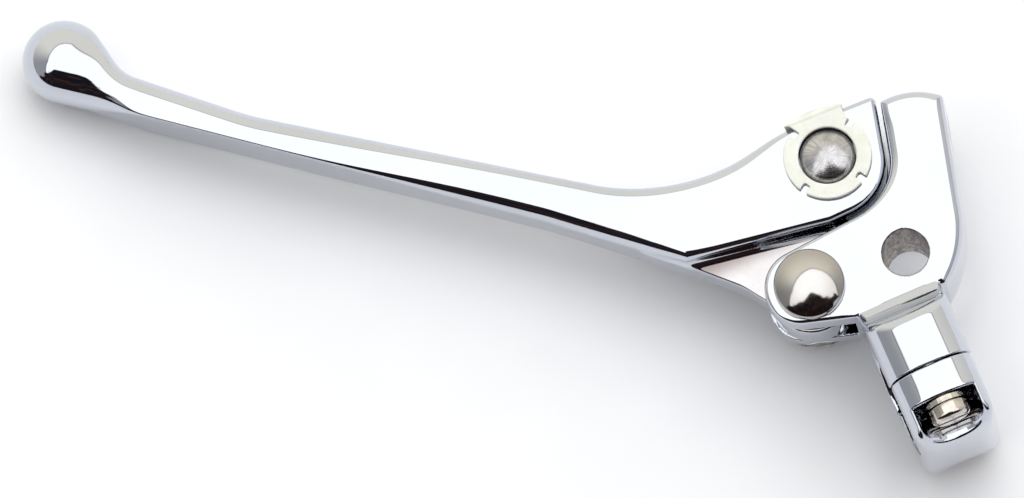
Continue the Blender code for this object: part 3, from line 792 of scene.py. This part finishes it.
lever = place("lever_skin", lever_field, "lever", "hand_lever", "chrome_plate",
              lever_chrome(), 0.42 * COARSE)
bracket = place("bracket_skin", bracket_field, "bracket", "perch", "chrome_plate",
                bracket_chrome(), 0.36 * COARSE)
place("cap_skin", cap_field, "clamp_cap", "perch", "chrome_plate",
      chrome("bright_chrome")[0], 0.36 * COARSE)
place("pivot_pin_skin", pivot_pin_field, "pivot_pin", "perch", "chrome_plate", pin_chrome(), 0.3)
place("anchor_pin_skin", anchor_pin_field, "anchor_pin", "cable_anchor", "turned_steel",
      turned_metal("turned_steel", (0.60, 0.59, 0.60), (*ANCHOR, 0), ALONG_Z, 0.2, 0.75), 0.25)
place("anchor_clip_skin", clip_field, "anchor_clip", "hand_lever", "nylon", nylon(), 0.25)
for side, name in ((1, "upper"), (-1, "lower")):
    axis_place = (0, 0, side * SCREW_OFFSET)
    metal = turned_metal("nickel_" + name, (0.68, 0.63, 0.56), axis_place, ALONG_Y, 0.16)
    place("clamp_screw_skin_" + name, screw_field(side), "clamp_screw_" + name, "perch",
          "nickel_plate", metal, 0.25)
    frame["nodes"]["lock_washer_" + name].data.materials[0] = metal

# The small pieces round the pivot keep their CAD shapes: (material, colour, roughness)
ROUND_PIVOT = {
    "pivot_washer": ("washer_zinc", (0.60, 0.60, 0.58), 0.3),
    "pivot_retaining_ring": ("ring_steel", (0.25, 0.24, 0.23), 0.4),
    "anti_rattle_washer": ("wave_steel", (0.30, 0.29, 0.28), 0.35),
    "pivot_bushing": ("bush_bronze", (0.58, 0.38, 0.18), 0.35),
}
for node, (name, colour, rough) in ROUND_PIVOT.items():
    look = turned_metal(name, colour, (*PIVOT, 0), ALONG_Z, rough)
    frame["nodes"][node].data.materials[0] = look


# Studio ---------------------------------------------------------------------------------------

# Metres from here on. The camera stands straight behind home, seen along the line of sight, and
# looks at a place that is AIM to the right and up of home
LINE_OF_SIGHT = np.array((-0.03355, -0.21439, 0.97617))
IMAGE_UP = np.array((0.3977, 0.8931, 0.2098))
DISTANCE = 2.5
VIEW_WIDTH = 0.21787234
AIM = (-0.0899, 0.02885)

# The surroundings, as the camera's own directions. Angles are in degrees; tilt is counted from
# straight behind the camera and bearing from straight down, to the right. The white ceiling
# reaches CEILING_REACH, and by so much more or less to each side
CEILING_REACH = 57.0
MORE_UP, MORE_LEFT, MORE_DOWN = -7.0, -16.0, 24.0
CEILING_COLOUR = (1.65, 1.65, 1.65, 1)
SEAM_WIDTH = 2.0
SEAM_COLOUR = (0.12, 0.11, 0.11, 1)
WALL_ABOVE = (1.06, 1.02, 0.89, 1)
WALL_BELOW = (0.42, 0.42, 0.43, 1)
WALL_RIGHT = (0.62, 0.62, 0.64, 1)
DARK_BEARING = 12.0
DARK_HALF_WIDTH = 36.0
DARK_START = -6.0
# What noise adds to its half width and start, and what tilt adds: (tilts, and what each adds)
RAGGED_WIDTH, RAGGED_START = 30.0, 16.0
DARK_WIDENING = (25.0, 50.0, 0.0, 14.0)
DARK_COLOURS = ((0.012, 0.012, 0.016, 1), (0.07, 0.03, 0.02, 1))

# The table slopes by TILT, rising this way, and lies just below the two pieces that touch it
TILT = 0.0622
TILT_WAY = (-0.69, 0.72)
TABLE_GAP = 0.0001
TABLE_HALF = 2.0
TABLE_CELLS = 8
TABLE_COLOURS = ((0.79, 0.80, 0.83, 1), (0.81, 0.82, 0.85, 1))
# The painted pool of light below the mirror hole fades out between these distances, in metres
GLOW_NEAR, GLOW_FAR = 0.006, 0.014

LAMP_ENERGY = 1.1
LAMP_SPREAD = math.radians(55.0)
LAMP_LEAN = math.radians(42.0)
LAMP_SIDE = 0.12


def lowest_along(piece, normal):
    """How far the lowest of a piece's vertices lies along a direction."""
    places = np.empty(3 * len(piece.data.vertices))
    piece.data.vertices.foreach_get("co", places)
    return float((places.reshape(-1, 3) @ normal).min())


def camera_axes():
    """The camera's right, up and back directions."""
    back = LINE_OF_SIGHT / np.linalg.norm(LINE_OF_SIGHT)
    up = IMAGE_UP - back * (IMAGE_UP @ back)
    up /= np.linalg.norm(up)
    return np.cross(up, back), up, back


def camera():
    """The camera, turned from home towards its aim."""
    right, up, back = camera_axes()
    spot = HOME * MM + back * DISTANCE
    back = back * DISTANCE - right * AIM[0] - up * AIM[1]
    back /= np.linalg.norm(back)
    up -= back * (up @ back)
    up /= np.linalg.norm(up)
    right = np.cross(up, back)
    data = bpy.data.cameras.new("camera")
    data.sensor_width = 36.0
    data.lens = data.sensor_width * DISTANCE / VIEW_WIDTH
    data.clip_end = 20.0
    made = bpy.data.objects.new("camera", data)
    rows = [(*row, 0.0) for row in (right, up, back)]
    made.matrix_world = Matrix((*rows, (*spot, 1.0))).transposed()
    bpy.context.scene.collection.objects.link(made)
    bpy.context.scene.camera = made


def walls(tools, tilt, upward, rightward):
    """The colour of the ceiling and, past its edge and a dark seam, of the walls."""
    reach = CEILING_REACH
    sides = (("MAXIMUM", upward, MORE_UP), ("MINIMUM", rightward, -MORE_LEFT),
             ("MINIMUM", upward, -MORE_DOWN))
    for operation, part, more in sides:
        reach = tools.number("MULTIPLY_ADD", tools.number(operation, part, 0.0), more, reach)
    past = tools.number("SUBTRACT", tilt, reach)
    ceiling = tools.step(past, -SEAM_WIDTH, SEAM_WIDTH, 1.0, 0.0)
    off_seam = tools.number("ABSOLUTE", tools.number("SUBTRACT", past, SEAM_WIDTH))
    wall = tools.mix(tools.step(upward, -0.1, 0.75), WALL_BELOW, WALL_ABOVE)
    wall = tools.mix(tools.step(rightward, 0.5, 1.0, 0.0, 0.6), wall, WALL_RIGHT)
    wall = tools.mix(tools.step(off_seam, 0.0, SEAM_WIDTH, 0.35, 1.0), SEAM_COLOUR, wall)
    return tools.mix(ceiling, wall, CEILING_COLOUR)


def dark_shape(tools, look, tilt, upward, rightward):
    """Where the ragged dark shape below the camera is, and its colour."""
    downward = tools.number("MULTIPLY", upward, -1.0)
    turn = tools.number("ARCTAN2", rightward, downward)
    bearing = tools.number("MULTIPLY", turn, 180 / math.pi)
    aside = tools.number("ABSOLUTE", tools.number("SUBTRACT", bearing, DARK_BEARING))
    ragged = tools.noise(5.0, 2.0, 0.5, place=look)
    width = tools.number("MULTIPLY_ADD", ragged, RAGGED_WIDTH, DARK_HALF_WIDTH)
    width = tools.number("ADD", width, tools.step(tilt, *DARK_WIDENING))
    start = tools.number("MULTIPLY_ADD", ragged, RAGGED_START, DARK_START)
    within = tools.step(tools.number("SUBTRACT", aside, width), 0.0, 5.0, 1.0, 0.0)
    begun = tools.step(tools.number("SUBTRACT", tilt, start), 0.0, 3.0)
    blotches = tools.step(tools.noise(9.0, 3.0, 0.6, place=look), 0.5, 0.62)
    return tools.number("MULTIPLY", within, begun), tools.mix(blotches, *DARK_COLOURS)


def surroundings():
    """What the chrome mirrors: a white ceiling, pale walls and one dark shape."""
    world = bpy.data.worlds.new("studio")
    world.use_nodes = True
    bpy.context.scene.world = world
    tools = Tree(world.node_tree)
    look = tools.add("ShaderNodeTexCoord").outputs["Generated"]
    right, up, back = [tools.vector("DOT_PRODUCT", look, axis).outputs["Value"]
                       for axis in camera_axes()]
    tilt = tools.number("MULTIPLY", tools.number("ARCCOSINE", back), 180 / math.pi)
    rest = tools.number("SUBTRACT", 1.0, tools.number("MULTIPLY", back, back))
    spread = tools.number("MAXIMUM", tools.number("SQRT", rest), 0.001)
    upward = tools.number("DIVIDE", up, spread)
    rightward = tools.number("DIVIDE", right, spread)
    dark, cloth = dark_shape(tools, look, tilt, upward, rightward)
    light = tools.mix(dark, walls(tools, tilt, upward, rightward), cloth)
    tools.put(world.node_tree.nodes["Background"].inputs["Color"], light)


def table_look(below):
    """Matt white and faintly glowing, with a painted pool of light glowing brighter on the place
    below the mirror hole.
    """
    made, tools, shader = principled("white_table", Roughness=0.55)
    cloud = tools.step(tools.noise(30.0, 3.0), 0.3, 0.7)
    tools.put(shader.inputs["Base Color"], tools.mix(cloud, *TABLE_COLOURS))
    # Painted light: the table glows brighter on the patch below the mirror hole
    away = tools.vector("DISTANCE", tools.spot(), below).outputs["Value"]
    tools.put(shader.inputs["Emission Color"], (0.96, 0.96, 1.0, 1))
    tools.put(shader.inputs["Emission Strength"], tools.step(away, GLOW_NEAR, GLOW_FAR, 0.30, 0.03))
    return made


def floor(pieces):
    """The white table top, tilted so that the clamp and the ball both rest on it."""
    normal = np.array((-TILT * TILT_WAY[0], -TILT * TILT_WAY[1], 1.0))
    level = min(lowest_along(piece, normal) for piece in pieces) - TABLE_GAP

    def on_table(x, y):
        return x, y, level - normal[0] * x - normal[1] * y

    steps = np.linspace(-TABLE_HALF, TABLE_HALF, TABLE_CELLS + 1).tolist()
    points = [on_table(x, y) for y in steps for x in steps]
    row = TABLE_CELLS + 1
    faces = [(j * row + i, j * row + i + 1, (j + 1) * row + i + 1, (j + 1) * row + i)
             for j in range(TABLE_CELLS) for i in range(TABLE_CELLS)]
    mesh = bpy.data.meshes.new("table_top")
    mesh.from_pydata(points, [], faces)
    mesh.materials.append(table_look(on_table(*world_place(*MIRROR_HOLE, 0.0)[:2])))
    made = bpy.data.objects.new("table_top", mesh)
    bpy.context.scene.collection.objects.link(made)


def lamp():
    """A broad soft lamp beyond the far edge of the table: it casts the soft shadows."""
    right, up, back = camera_axes()
    way = Vector(back * math.cos(LAMP_LEAN) + up * math.sin(LAMP_LEAN) + right * LAMP_SIDE)
    data = bpy.data.lights.new("lamp", "SUN")
    data.energy = LAMP_ENERGY
    data.angle = LAMP_SPREAD
    made = bpy.data.objects.new("lamp", data)
    made.matrix_world = way.to_track_quat("Z", "Y").to_matrix().to_4x4()
    made.visible_glossy = False
    bpy.context.scene.collection.objects.link(made)


camera()
surroundings()
floor([lever, bracket])
lamp()
bpy.context.scene.view_settings.view_transform = "Standard"
